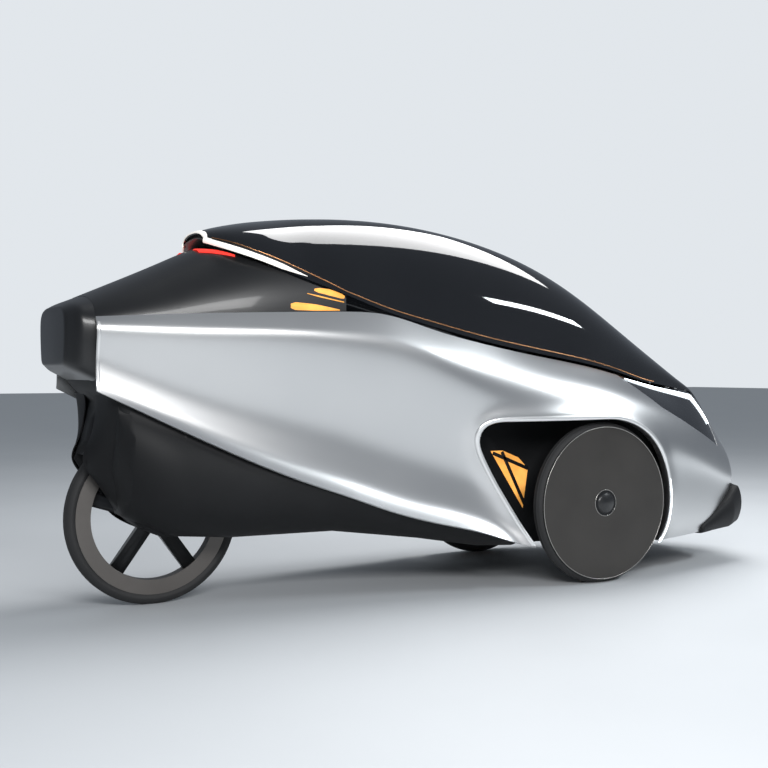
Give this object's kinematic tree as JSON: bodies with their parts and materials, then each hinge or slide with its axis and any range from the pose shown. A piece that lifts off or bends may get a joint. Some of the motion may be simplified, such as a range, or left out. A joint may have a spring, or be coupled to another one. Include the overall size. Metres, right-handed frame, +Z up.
{
  "type": "electric tricycle",
  "caption": "Enclosed electric tricycle with covered steering wheels in front, a driven rear wheel, silver side panels and a forward-tilting smoked canopy.",
  "frame": {"origin": "on the ground under the middle of the overall length", "axes": "+X to the nose, +Y to the left side, +Z up"},
  "size_m": [2.415, 0.7794, 1.1239],
  "materials": {
    "silver": "satin silver paint",
    "black_paint": "satin black paint",
    "black_plastic": "moulded black plastic",
    "grey_plastic": "moulded grey plastic",
    "smoked_glass": "smoked clear plastic, polished",
    "lamp_lens": "dark lens, polished",
    "amber_lens": "amber lens",
    "red_lens": "red lens",
    "screen": "glossy screen",
    "steel": "black coated steel",
    "seat_cloth": "woven seat cloth",
    "tyre": "tyre rubber",
    "rubber": "soft rubber",
    "bronze_disc": "dark brushed metallic disc",
    "grey_rim": "satin grey rim"
  },
  "bodies": {
    "body": {"tub": "black_plastic", "side_panel_left": "silver", "side_panel_right": "silver", "headlamp_left": "lamp_lens", "headlamp_right": "lamp_lens", "rear_wheel_well": "black_plastic", "front_wheel_well_left": "black_plastic", "front_wheel_well_right": "black_plastic", "well_lamp_left": "amber_lens", "well_lamp_right": "amber_lens", "rear_deck": "black_paint", "indicator_left": "amber_lens", "indicator_right": "amber_lens", "tail_panel": "black_paint", "tail_lamp": "red_lens", "front_bumper": "black_plastic", "hinge_bracket": "steel", "front_axle": "steel", "rear_axle": "steel", "seat_shell": "grey_plastic", "seat_pad": "seat_cloth", "back_pad": "seat_cloth", "headrest": "seat_cloth", "battery": "black_plastic", "dashboard": "grey_plastic", "display": "screen", "steering_column": "steel", "lifting_pad": "rubber"},
    "canopy": {"canopy": "smoked_glass", "canopy_arm": "steel"},
    "knuckle_left": {"knuckle_left": "steel"},
    "knuckle_right": {"knuckle_right": "steel"},
    "front_wheel_left": {"front_tyre_left": "tyre", "front_disc_left": "bronze_disc", "front_cap_left": "black_paint"},
    "front_wheel_right": {"front_tyre_right": "tyre", "front_disc_right": "bronze_disc", "front_cap_right": "black_paint"},
    "rear_wheel": {"rear_tyre": "tyre", "rear_rim": "grey_rim", "rear_spider": "black_paint"},
    "handlebar": {"handlebar": "steel", "grip_left": "rubber", "grip_right": "rubber"}
  },
  "joints": [
    {"name": "canopy_tilt", "type": "hinge", "parent": "body", "child": "canopy", "pos_m": [1.0595, 0, 0.466], "axis": [0, 1, 0], "range_deg": [0, 34]},
    {"name": "steer_right", "type": "hinge", "parent": "body", "child": "knuckle_right", "pos_m": [0.3985, -0.297, 0.25], "axis": [0, 0, 1], "range_deg": [-22, 22]},
    {"name": "steer_left", "type": "hinge", "parent": "body", "child": "knuckle_left", "pos_m": [0.3985, 0.297, 0.25], "axis": [0, 0, 1], "range_deg": [-22, 22]},
    {"name": "bar_turn", "type": "hinge", "parent": "body", "child": "handlebar", "pos_m": [-0.0225, 0, 0.56], "axis": [-0.225, 0, 0.9744], "range_deg": [-22, 22]},
    {"name": "front_spin_right", "type": "hinge", "parent": "knuckle_right", "child": "front_wheel_right", "pos_m": [0.3985, -0.347, 0.25], "axis": [0, 1, 0], "continuous": true},
    {"name": "front_spin_left", "type": "hinge", "parent": "knuckle_left", "child": "front_wheel_left", "pos_m": [0.3985, 0.347, 0.25], "axis": [0, 1, 0], "continuous": true},
    {"name": "rear_spin", "type": "hinge", "parent": "body", "child": "rear_wheel", "pos_m": [-0.9325, 0, 0.25], "axis": [0, 1, 0], "continuous": true}
  ],
  "couplings": [
    {"joint": "steer_left", "follows": "steer_right", "ratio": 1},
    {"joint": "bar_turn", "follows": "steer_right", "ratio": 1}
  ]
}
